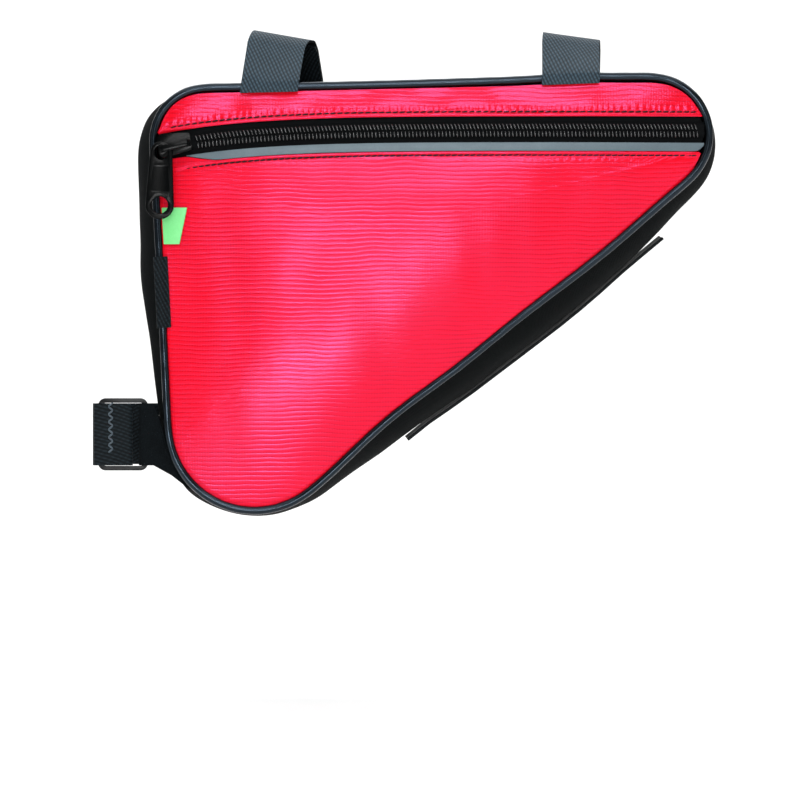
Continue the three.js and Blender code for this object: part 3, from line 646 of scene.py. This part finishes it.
@dataclass
class Shell:
    """The red faces, the black band between them and the beads in their seams.

    A dent is its width and its depth in millimetres, its seed, and how far it is drawn out upwards (1 is not).
    The tuck is how far a face's rim runs on outwards and inwards under its bead; it starts as far below the
    zip as the first value of tuck_below says, and is whole after the second.
    """

    middle: Pair = (-0.0299, -0.0852)
    stations: int = 420
    rings: int = 64
    wall: float = 1.1
    half_width: float = 27.5
    band_rows: int = 28
    band_wall: float = 1.2
    bead: float = 2.1
    bead_sides: int = 14
    tuck: Pair = (1.5, 1.4)
    tuck_below: Pair = (17, 4)
    slack: Pair = (0.58, 0.55)
    ripple: Triple = (40.0, 25.0, 40.0)
    rays: int = 1440
    bead_rays: int = 1080
    dents: tuple[tuple[float, float, float, float], ...] = (
        (70.0, 1.3, 3.1, 1.0),
        (30.0, 0.5, 8.4, 0.3),
        (16.0, 0.16, 1.7, 0.5),
    )

    def face(self, name: str, node: str, side: Side) -> Piece:
        """Lays one crowned face as a fine sheet, with the dents of cloth that hangs empty."""
        surface = Surface(node)
        angles = np.linspace(0, 2 * math.pi, self.rays, endpoint=False)
        reach = np.array([surface.reach(self.middle, a, side) for a in angles]) - 0.1 * MM
        ways = np.stack([np.cos(angles), np.sin(angles)], axis=1)
        outline = even_loop(np.array(self.middle) + reach[:, None] * ways, self.stations)
        share = np.linspace(0, 1, self.rings + 1) ** 0.85
        x = self.middle[0] + share[:, None] * (outline[:, 0] - self.middle[0])
        z = self.middle[1] + share[:, None] * (outline[:, 1] - self.middle[1])
        y = np.array([[surface.depth(a, b, side) for a, b in zip(*row)] for row in zip(x, z)], dtype=float)
        for row in range(1, self.rings + 1):
            y[row] = np.where(np.isnan(y[row]), y[row - 1], y[row])
        soften_round(y, 60, hub=True)
        hold = 1 - share[:, None] ** 7
        for size, deep, seed, upright in self.dents:
            y -= side.value * hold * deep * MM * dent(x, z * upright, size, seed + side.value)
        if side is Side.FRONT:
            y -= ZIP_LINE.hem(x, z, below=True) * MM
        x, y, z = self.tucked(x, y, z, side)
        piece = lay_grid(name, np.stack([x, y, z], axis=2), np.stack([x, z], axis=2), closed=True)
        turn_outwards(piece, Vector((0, side.value, 0)))
        apply_modifier(piece, "SOLIDIFY", thickness=self.wall * MM, offset=-1)
        smooth(piece, 60)
        return finish_piece(piece, RED_CLOTH, nodes=[node])

    def tucked(self, x: np.ndarray, y: np.ndarray, z: np.ndarray, side: Side) -> list[np.ndarray]:
        """Turns a face's rim in under its bead, but not along the zip.

        Args:
            x: the sheet's places along the bag.
            y: its depths.
            z: its heights.
            side: the face.

        Returns:
            The three arrays with one more ring each.
        """
        way = np.stack([np.gradient(z[-1]), -np.gradient(x[-1])])
        way /= np.linalg.norm(way, axis=0)
        middle = np.stack([x[-1] - self.middle[0], z[-1] - self.middle[1]])
        way *= np.sign((way * middle).sum(axis=0))
        sewn = np.ones(len(x[-1]))
        if side is Side.FRONT:
            start, whole = self.tuck_below
            sewn = np.clip((ZIP_LINE.height(x[-1]) - start * MM - z[-1]) / (whole * MM), 0, 1)
        out, under = self.tuck
        steps = ((x, out * way[0]), (y, -under * side.value), (z, out * way[1]))
        return [np.vstack([grid, grid[-1] + step * sewn * MM]) for grid, step in steps]

    def skin(self, surface: Surface, angle: float, y: float, sunk: float = 0.0) -> Vector:
        """Gives where a ray from outside, towards the bag's middle line, meets a surface.

        Args:
            surface: the surface.
            angle: which way round the bag the ray comes from.
            y: the ray's depth, in metres.
            sunk: how much further in the point lies, in metres.

        Returns:
            The point, in metres.
        """
        way = Vector((math.cos(angle), 0, math.sin(angle)))
        start = Vector((self.middle[0], y, self.middle[1])) + way * OUTSIDE
        hit = surface.tree.ray_cast(start, -way)[0]
        return (start - way * 0.1 if hit is None else hit) - way * sunk

    def band(self) -> Piece:
        """Lays the black band round the bag's edge."""
        surface = Surface("gusset")
        wide = surface.high[1] - 0.05 * MM
        angles = np.linspace(0, 2 * math.pi, self.rays, endpoint=False)
        line = np.array([[p.x, p.z] for p in (self.skin(surface, a, 0.0) for a in angles)])
        even = even_loop(line, self.stations)
        turns = np.arctan2(even[:, 1] - self.middle[1], even[:, 0] - self.middle[0])
        across = np.linspace(-wide, wide, self.band_rows + 1)
        grid = np.array([[self.skin(surface, a, y)[:] for a in turns] for y in across])
        out = grid - np.array([self.middle[0], 0, self.middle[1]])
        out[:, :, 1] = 0
        out /= np.linalg.norm(out, axis=2, keepdims=True)
        hold = 1 - np.abs(across[:, None] / wide) ** 4
        run = np.concatenate([[0], np.cumsum(np.linalg.norm(np.diff(even, axis=0), axis=1))])
        soften_round(grid, 12)
        ripple = np.array([[noise.noise(Vector(p * self.ripple)) for p in row] for row in grid])
        ripple[:, -1] = ripple[:, 0]
        grid -= out * (hold * (self.slack[0] + self.slack[1] * ripple) * MM)[:, :, None]
        cloth = np.stack(np.meshgrid(run, across), axis=2)
        piece = lay_grid("gusset_cloth", grid, cloth, closed=True)
        top = max(piece.data.polygons, key=lambda face: face.center.z)
        if top.normal.z < 0:
            piece.data.flip_normals()
        apply_modifier(piece, "SOLIDIFY", thickness=self.band_wall * MM, offset=-1)
        smooth(piece, 50)
        return finish_piece(piece, BLACK_CLOTH, nodes=["gusset"])

    def piping(self, name: str, node: str, side: Side) -> Piece:
        """Runs one round vinyl bead along the seam between a face and the band."""
        surface = Surface(node)
        level = side.value * self.half_width * MM
        angles = np.linspace(0, 2 * math.pi, self.bead_rays, endpoint=False)
        line = [self.skin(surface, a, level, 0.87 * self.bead * MM) for a in angles]
        core = even_loop(np.array(line), self.stations)
        for _ in range(6):
            ring = core[:-1]
            ring = (np.roll(ring, 1, axis=0) + np.roll(ring, -1, axis=0) + 2 * ring) / 4
            core = np.vstack([ring, ring[:1]])
        run = np.roll(core[:-1], -1, axis=0) - np.roll(core[:-1], 1, axis=0)
        run = np.vstack([run, run[:1]])
        run /= np.linalg.norm(run, axis=1, keepdims=True)
        aside = np.cross(run, np.array([0.0, 1.0, 0.0]))
        turn = np.linspace(0, 2 * math.pi, self.bead_sides + 1)[:, None, None]
        swell = (self.bead * MM * (1 + 0.02 * np.sin(np.arange(self.stations + 1) * 0.9)))[None, :, None]
        points = core + aside * np.cos(turn) * swell + np.array([0, 1.0, 0]) * np.sin(turn) * swell
        shares = np.meshgrid(np.linspace(0, 1, self.stations + 1), np.linspace(0, 1, self.bead_sides + 1))
        piece = lay_grid(name, points, np.stack(shares, axis=2), closed=True)
        edit(piece, face_out)
        smooth(piece, 70)
        return finish_piece(piece, VINYL, nodes=[node])

    def build(self) -> None:
        """Builds both faces, the band and both beads."""
        self.face("front_face_cloth", "front_panel", Side.FRONT)
        self.face("rear_face_cloth", "rear_panel", Side.REAR)
        self.band()
        self.piping("front_bead", "front_piping", Side.FRONT)
        self.piping("rear_bead", "rear_piping", Side.REAR)


@dataclass
class Ribbons:
    """The long strips on the front face: the cloth above the zip, the bead tape and the zip's tapes."""

    columns: int = 300
    inset: float = 0.15

    def strip(
        self, name: str, node: str, rows: int, wall: float, finish: Finish, slot: str,
        swell: float = 0.0, hemmed: bool = False,
    ) -> Piece:
        """Lays one strip that runs along the bag, column by column.

        Args:
            name: the piece's name.
            node: the CAD node that it lies on and stands for.
            rows: faces across it.
            wall: its thickness, in millimetres.
            finish: its finish.
            slot: the record's slot; not used.
            swell: how far its middle stands proud, in millimetres.
            hemmed: True for the cloth above the zip, which has a folded hem and soft dents.

        Returns:
            The new piece.
        """
        surface = Surface(node)
        inset = self.inset * MM
        xs = np.linspace(surface.low[0] + inset, surface.high[0] - inset, self.columns + 1)
        spans = [surface.span(x, Side.FRONT) for x in xs]
        low = np.array([s[0] + inset / 2 if s else np.nan for s in spans])
        high = np.array([s[1] - inset / 2 if s else np.nan for s in spans])
        seen = ~np.isnan(low)
        low, high = np.interp(xs, xs[seen], low[seen]), np.interp(xs, xs[seen], high[seen])
        soften(low, 10)
        soften(high, 10)
        share = np.linspace(0, 1, rows + 1)
        z = low[None, :] + share[:, None] * (high - low)[None, :]
        x = np.broadcast_to(xs, z.shape)
        y = np.array([[surface.depth(a, b, Side.FRONT) for a, b in zip(*row)] for row in zip(x, z)], dtype=float)
        for row in y:
            good = ~np.isnan(row)
            row[:] = np.interp(xs, xs[good], row[good])
        soften(y, 6)
        y -= swell * MM * np.sin(share[:, None] * math.pi)
        if hemmed:
            ripple = 0.9 * dent(x, z, 30.0, 5.2) + 0.5 * dent(x, z, 13.0, 7.7)
            y -= (ZIP_LINE.hem(x, z, below=False) + ripple * np.sin(share[:, None] * math.pi)) * MM
        piece = lay_grid(name, np.stack([x, y, z], axis=2), np.stack([x, z], axis=2))
        turn_outwards(piece, Vector((0, -1, 0)))
        apply_modifier(piece, "SOLIDIFY", thickness=wall * MM, offset=-1)
        smooth(piece, 50)
        return finish_piece(piece, finish, nodes=[node])

    def build(self) -> None:
        """Builds the four strips."""
        self.strip("top_panel_cloth", "front_top_panel", 36, 1.0, RED_CLOTH, "red_coated_cloth", hemmed=True)
        self.strip("bead_tape_strip", "reflective_strip", 8, 0.6, BEAD_TAPE, "reflective", 0.15)
        self.strip("upper_zip_tape", "zip_tape_upper", 8, 0.8, ZIP_TAPE, "black_cloth")
        self.strip("lower_zip_tape", "zip_tape_lower", 8, 0.8, ZIP_TAPE, "black_cloth")


@dataclass
class Repeats:
    """What the zip and the seams repeat: coil teeth and stitches, each modelled once and copied.

    Sizes are in millimetres and leans in degrees. A row is 1 for the upper teeth and -1 for the lower ones.
    """

    pitch: float = 1.92
    first: float = -120.5
    last: float = 142.5
    tooth: Triple = (0.62, 1.0, 1.8)
    middle: float = -0.6
    apart: float = 1.95
    rows: tuple[Triple, Triple] = ((1, 0.25, -24), (-1, 0.75, -6))
    tip: float = -16
    stitch: float = 3.2
    thread: float = 0.5

    def bead_form(self, name: str, size: Triple, segments: int, rings: int, blunt: float) -> Piece:
        """Adds one small rounded form, longer than it is wide; a lower last value makes its ends blunter."""
        clear_selection()
        bpy.ops.mesh.primitive_uv_sphere_add(segments=segments, ring_count=rings, radius=1)
        form = bpy.context.object
        form.name = name
        for vertex in form.data.vertices:
            vertex.co.z = math.copysign(abs(vertex.co.z) ** blunt, vertex.co.z)
        form.scale = [value * MM for value in size]
        settle(form)
        return form

    def spread(self, form: Piece, places: Sequence[Matrix]) -> Piece:
        """Copies a form to many places and joins the copies into it.

        Args:
            form: the form, at the origin.
            places: a turn and a place for each copy.

        Returns:
            The form's object, which now holds every copy.
        """
        start = form.data.copy()
        whole = bmesh.new()
        for place in places:
            copied = start.copy()
            copied.transform(place)
            whole.from_mesh(copied)
            bpy.data.meshes.remove(copied)
        whole.to_mesh(form.data)
        whole.free()
        bpy.data.meshes.remove(start)
        smooth(form, 80)
        return form

    def coil(self) -> None:
        """Sets two rows of teeth along the zip, half a pitch apart."""
        surface = Surface("zip_coil")
        places = []
        count = int((self.last - self.first) / self.pitch)
        for row, start, lean in self.rows:
            tipped = Matrix.Rotation(math.radians(self.tip * row), 4, "X")
            leant = Matrix.Rotation(math.radians(lean), 4, "Y") @ tipped
            for k in range(count):
                x = (self.first + (k + start) * self.pitch) * MM
                line = float(ZIP_LINE.height(np.array(x)))
                y = surface.depth(x, line + self.middle * MM, Side.FRONT)
                if y is not None:
                    z = line + (row * self.apart + self.middle) * MM
                    places.append(Matrix.Translation((x, y + 0.2 * MM, z)) @ leant)
        teeth = self.spread(self.bead_form("coil_teeth", self.tooth, 12, 8, 1.0), places)
        finish_piece(teeth, COIL)

    def stitches(self, name: str, line: Sequence[Stitch], finish: Finish) -> None:
        """Sews a row of stitches.

        Args:
            name: the piece's name.
            line: for each stitch, its middle, the way it runs and the way it faces.
            finish: the thread's finish.
        """
        size = (self.thread, self.thread, self.stitch / 2)
        places = []
        for middle, run, facing in line:
            run, facing = run.normalized(), facing.normalized()
            aside = run.cross(facing).normalized()
            turn = Matrix((aside, facing, run)).transposed().to_4x4()
            places.append(Matrix.Translation(middle) @ turn)
        finish_piece(self.spread(self.bead_form(name, size, 8, 6, 0.7), places), finish)

    def along(self, below: bool, first: float, last: float, step: float, slant: float) -> list[Stitch]:
        """Places the stitches of one hem beside the zip.

        Args:
            below: True for the hem below the zip.
            first: the first stitch's X, in millimetres.
            last: the X that they stop before.
            step: how far apart they are.
            slant: how far each rises over a millimetre, beside its line.

        Returns:
            For each stitch its middle, the way it runs and the way it faces.
        """
        surface = Surface("front_panel" if below else "front_top_panel")
        made = []
        for x in np.arange(first, last, step) * MM:
            z = float(ZIP_LINE.seam(np.array(x), below))
            y = surface.depth(x, z, Side.FRONT)
            if y is not None:
                rise = float(ZIP_LINE.seam(np.array(x + MM), below)) - z
                run = Vector((MM, 0, rise + slant * MM))
                made.append((Vector((x, y + 0.1 * MM, z)), run, Vector((0, -1, 0))))
        return made

    def zigzag(self, start: Pair, count: int, step: Pair) -> list[Stitch]:
        """Places a zigzag seam down the seat strap's front.

        Args:
            start: the first stitch's X and Z, in millimetres.
            count: how many stitches there are.
            step: how far a stitch runs across and down, in millimetres.

        Returns:
            For each stitch its middle, the way it runs and the way it faces.
        """
        surface = Surface("seat_strap")
        made = []
        for k in range(count):
            x, z = start[0] * MM, (start[1] - k * step[1]) * MM
            y = surface.depth(x, z, Side.FRONT)
            if y is not None:
                run = Vector((step[0] * (1 if k % 2 else -1), 0, -step[1]))
                made.append((Vector((x, y, z)), run, Vector((0, -1, 0))))
        return made

    def build(self) -> None:
        """Builds the teeth, both hems' stitches and the strap's seam."""
        self.coil()
        for name, below, first, step, slant in (("upper", False, -132, 3.6, 0.12), ("lower", True, -127, 3.2, 0.1)):
            line = self.along(below, first, 142, step, slant)
            self.stitches(f"{name}_hem_stitches", line, RED_THREAD)
        self.stitches("strap_zigzag", self.zigzag((-165.2, -174.5), 13, (2.6, 2.0)), SLATE_THREAD)


@dataclass
class Copies:
    """The pieces that keep their CAD form, with softened edges and their own finish."""

    tube_bend: float = 0.0175
    inside: float = 0.012
    seat_bend: float = 0.018
    seat_middle: float = -0.153

    def soft(
        self, name: str, node: str, finish: Finish, slot: str, cloth: ClothMap,
        rounding: float = 0.25, sunk: float = 0.0, bends: bool = False,
    ) -> Piece:
        """Makes one rounded copy of a CAD node.

        Args:
            name: the piece's name.
            node: the CAD node.
            finish: its finish.
            slot: the record's slot; not used.
            cloth: gives a point's place on the cloth map, in metres.
            rounding: its edges' radius, in millimetres.
            sunk: how far back it is set, in millimetres.
            bends: True for a band whose flat steps become round bends.

        Returns:
            The new piece.
        """
        piece = node_copy(name, node)
        if bends:
            self.even_bends(piece)
        paint_map(piece, cloth)
        piece.data.transform(Matrix.Translation((0, sunk * MM, 0)))
        sharp = math.radians(40)
        apply_modifier(piece, "BEVEL", width=rounding * MM, segments=2, limit_method="ANGLE", angle_limit=sharp)
        smooth(piece, 45)
        return finish_piece(piece, finish, nodes=[node])

    def even_bends(self, piece: Piece) -> None:
        """Turns a band's flat steps into round bends, with its sharp edges held."""
        flat, turned, sharp = (math.radians(value) for value in (30, 120, 50))
        edit(
            piece,
            lambda: bpy.ops.mesh.tris_convert_to_quads(face_threshold=flat, shape_threshold=turned),
            lambda: bpy.ops.mesh.select_all(action="DESELECT"),
            lambda: bpy.ops.mesh.edges_select_sharp(sharpness=sharp),
            lambda: bpy.ops.transform.edge_crease(value=1),
        )
        apply_modifier(piece, "SUBSURF", levels=2, render_levels=2)

    def line_inside(self, strap: Piece) -> None:
        """Gives the faces on a top strap's inner side a pile."""
        strap.data.materials.append(PILE.material())
        for face in strap.data.polygons:
            centre, normal = face.center, face.normal
            if normal.y * centre.y + normal.z * (centre.z + self.inside) < 0:
                face.material_index = 1

    def around_tube(self, place: Vector) -> Pair:
        """Gives a point's place on a top strap's cloth: round the tube, then straight down."""
        turn = min(abs(math.atan2(place.y, place.z)), math.pi / 2)
        return place.x, math.copysign(turn * self.tube_bend + max(0.0, -place.z), place.y)

    def around_seat_tube(self, place: Vector) -> Pair:
        """Gives a point's place on the seat strap's cloth."""
        return place.z, math.atan2(place.y, place.x - self.seat_middle) * self.seat_bend

    def build(self) -> None:
        """Builds every copied piece."""
        flat_face = lambda p: (p.x, p.z)
        for side in ("left", "right"):
            names = (f"{side}_top_strap_webbing", f"top_strap_{side}")
            self.line_inside(self.soft(*names, WEBBING, "webbing", self.around_tube, bends=True))
            names = (f"{side}_top_tab_webbing", f"top_tab_{side}")
            self.soft(*names, DARK_WEBBING, "webbing", self.around_tube, bends=True)
        self.soft("seat_strap_webbing", "seat_strap", DARK_WEBBING, "webbing", self.around_seat_tube, bends=True)
        self.soft("ring_tab_pile", "ring_tab", PILE, "webbing", lambda p: (p.z, p.x), bends=True)
        self.soft("seat_ring", "strap_ring", RING_PLASTIC, "ring_plastic", flat_face)
        flap = self.soft("flap_cloth", "gusset_flap", FLAP_CLOTH, "black_cloth", flat_face)
        self.soft("side_tag", "label_tab", TAG, "tag", flat_face)
        self.soft("joint_webbing", "piping_joint_tape", DARK_WEBBING, "webbing", flat_face)
        self.soft("coil_core", "zip_coil", ZIP_TAPE, "zip_coil", flat_face, sunk=1.1)
        self.soft("slider_body", "zip_slider", LACQUER, "lacquered_zinc", flat_face, rounding=0.5)


@dataclass
class PullTab:
    """The zip's pull: a flat cast plate with an eye, a sunken field and a finger hole, in millimetres.

    The field's four values are its top and half its width there, then its bottom and half its width there.
    """

    eye: Pair = (-138.0, -43.9)
    finger: Pair = (-138.9, -71.1)
    eye_outer: float = 5.3
    eye_hole: Pair = (3.9, 4.1)
    finger_outer: float = 6.95
    finger_hole: float = 4.8
    front: float = -36.15
    back: float = -34.05
    field: tuple[float, float, float, float] = (-50.4, 3.7, -64.4, 4.9)
    field_deep: float = 0.45
    corner: float = 1.1
    rim: float = 0.45

    def ring(self, centre: Pair, across: float, tall: float, count: int = 40) -> list[Pair]:
        """Gives the points of an ellipse, in millimetres."""
        turns = [2 * math.pi * k / count for k in range(count)]
        return [(centre[0] + across * math.cos(t), centre[1] + tall * math.sin(t)) for t in turns]

    def outline(self) -> list[Pair]:
        """Gives the plate's edge: a line drawn tight round the eye's and the finger hole's rims."""
        rims = ((self.eye, self.eye_outer), (self.finger, self.finger_outer))
        points = sorted(point for middle, size in rims for point in self.ring(middle, size, size))
        halves: list[list[Pair]] = []
        for line in (points, points[::-1]):
            half: list[Pair] = []
            for point in line:
                while len(half) > 1 and not self.turns_left(half[-2], half[-1], point):
                    half.pop()
                half.append(point)
            halves.append(half[:-1])
        return halves[0] + halves[1]

    def turns_left(self, a: Pair, b: Pair, c: Pair) -> bool:
        """Tells whether the way from a over b to c turns left."""
        return (b[0] - a[0]) * (c[1] - a[1]) > (b[1] - a[1]) * (c[0] - a[0])

    def field_outline(self) -> list[Pair]:
        """Gives the sunken field's edge, a rounded box that widens downwards."""
        top, wide, bottom, wider = self.field
        made = []
        for z, half, way in ((top, wide, 1), (bottom, wider, -1)):
            share = (self.eye[1] - z) / (self.eye[1] - self.finger[1])
            middle = self.eye[0] + share * (self.finger[0] - self.eye[0])
            for side in ((1, -1) if way > 0 else (-1, 1)):
                for k in range(7):
                    turn = math.pi / 2 * (k / 6 if (side * way) > 0 else 1 - k / 6)
                    x = middle + side * (half + self.corner * (math.cos(turn) - 1))
                    made.append((x, z + way * self.corner * (math.sin(turn) - 1)))
        return made

    def plate(
        self, name: str, lines: Sequence[Sequence[Pair]], front: float, back: float, rounding: float
    ) -> Piece:
        """Turns flat outlines into a plate with rounded edges.

        Args:
            name: the piece's name.
            lines: the outer outline and its holes.
            front: the front side's Y.
            back: the back side's Y.
            rounding: the edges' radius.

        Returns:
            The plate, in metres.
        """
        clear_selection()
        data = bpy.data.curves.new(name, "CURVE")
        data.dimensions, data.fill_mode = "2D", "BOTH"
        data.extrude = ((back - front) / 2 - rounding) * MM
        data.bevel_depth, data.bevel_resolution = rounding * MM, 2
        for line in lines:
            spline = data.splines.new("POLY")
            spline.points.add(len(line) - 1)
            for point, (x, z) in zip(spline.points, line):
                point.co = (x * MM, z * MM, 0, 1)
            spline.use_cyclic_u = True
        made = bpy.data.objects.new(name, data)
        bpy.context.scene.collection.objects.link(made)
        made.rotation_euler = (math.pi / 2, 0, 0)
        made.location = (0, (front + back) / 2 * MM, 0)
        pick(made)
        bpy.ops.object.convert(target="MESH")
        made = bpy.context.object
        settle(made)
        edit(made, weld, face_out)
        return made

    def build(self) -> None:
        """Builds the pull and sinks its field."""
        holes = [self.ring(self.eye, *self.eye_hole), self.ring(self.finger, self.finger_hole, self.finger_hole)]
        pull = self.plate("pull_tab", [self.outline(), *holes], self.front, self.back, self.rim)
        floor = self.front + self.field_deep
        cutter = self.plate("field_cutter", [self.field_outline()], self.front - 0.6, floor, 0.12)
        apply_modifier(pull, "BOOLEAN", operation="DIFFERENCE", object=cutter, solver="EXACT")
        bpy.data.objects.remove(cutter)
        smooth(pull, 40)
        finish_piece(pull, LACQUER, PULL_BODY, ["zip_pull"])


@dataclass
class Studio:
    """The camera at the photograph's viewing angle, a pale floor and soft light, in metres and watts."""

    distance: float = 2.0
    centre: Pair = (-0.0144, -0.1721)
    across: float = 0.4218
    floor_level: float = -0.33
    floor_size: Pair = (9, 8)
    wall: float = 3
    sweep_radius: float = 2.2
    bag_middle: Triple = (0.0, 0.0, -0.11)
    air: float = 0.1

    def camera(self) -> None:
        """Adds the camera, level and square to the bag's face."""
        data = bpy.data.cameras.new("studio_camera")
        data.lens = data.sensor_width * self.distance / self.across
        data.clip_end = 50
        made = bpy.data.objects.new("studio_camera", data)
        made.location = (self.centre[0], -self.distance, self.centre[1])
        made.rotation_euler = (math.pi / 2, 0, 0)
        bpy.context.scene.collection.objects.link(made)
        bpy.context.scene.camera = made

    def softbox(self, name: str, place: Triple, size: Pair, power: float, towards: Triple = bag_middle) -> None:
        """Adds one rectangular light that faces the bag's middle, or another point."""
        data = bpy.data.lights.new(name, "AREA")
        data.shape, data.size, data.size_y, data.energy = "RECTANGLE", size[0], size[1], power
        made = bpy.data.objects.new(name, data)
        made.location = place
        made.rotation_euler = (Vector(place) - Vector(towards)).to_track_quat("Z", "Y").to_euler()
        bpy.context.scene.collection.objects.link(made)

    def floor(self) -> None:
        """Adds a pale sweep that rises behind the bag."""
        clear_selection()
        bpy.ops.mesh.primitive_plane_add(size=1)
        sweep = bpy.context.object
        sweep.name = "paper_sweep"
        sweep.scale = (*self.floor_size, 1)
        sweep.location = (0, 0, self.floor_level)
        settle(sweep)
        bpy.ops.object.mode_set(mode="EDIT")
        bpy.ops.mesh.select_all(action="DESELECT")
        bpy.ops.object.mode_set(mode="OBJECT")
        for edge in sweep.data.edges:
            edge.select = all(sweep.data.vertices[i].co.y > 0 for i in edge.vertices)
        bpy.ops.object.mode_set(mode="EDIT")
        bpy.ops.mesh.extrude_region_move(TRANSFORM_OT_translate={"value": (0, 0, self.wall)})
        bpy.ops.object.mode_set(mode="OBJECT")
        apply_modifier(sweep, "BEVEL", width=self.sweep_radius, segments=24, limit_method="ANGLE")
        smooth(sweep, 60)
        sweep.data.materials.append(FLOOR_PAPER.material())

    def build(self) -> None:
        """Sets the whole studio."""
        self.camera()
        self.floor()
        self.softbox("axis_softbox", (-0.14, -2.3, -0.36), (0.58, 0.34), 27)
        for name, x in (("rear", -0.2), ("middle", 0.03), ("front", 0.24)):
            self.softbox(f"upper_{name}_softbox", (x, -1.9, 0.62), (0.13, 0.6), 4.5)
        self.softbox("left_softbox", (-1.4, -0.9, 0.5), (0.7, 1.0), 2)
        self.softbox("right_softbox", (1.4, -1.0, 0.35), (0.7, 1.0), 3)
        self.softbox("floor_wash", (0.0, -1.0, 0.9), (1.4, 0.5), 10, (0.0, -1.1, -0.3))
        self.softbox("sweep_wash", (0.0, 1.5, 2.4), (5.0, 4.4), 170, (0.0, 1.6, 0.0))
        world = bpy.data.worlds.new("studio_air")
        world.use_nodes = True
        background = world.node_tree.nodes["Background"]
        background.inputs[0].default_value = linear("#F4F5F6")
        background.inputs[1].default_value = self.air
        bpy.context.scene.world = world
        bpy.context.scene.view_settings.view_transform = "Standard"


def main() -> None:
    """Builds the studio and the bag, and reports each piece."""
    logging.basicConfig(level=logging.INFO, format="%(message)s")
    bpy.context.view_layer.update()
    Studio().build()
    for assembly in (Shell(), Ribbons(), Repeats(), Copies(), PullTab()):
        LOG.info("building %s", type(assembly).__name__)
        assembly.build()
    clear_selection()


if __name__ == "__main__":
    main()
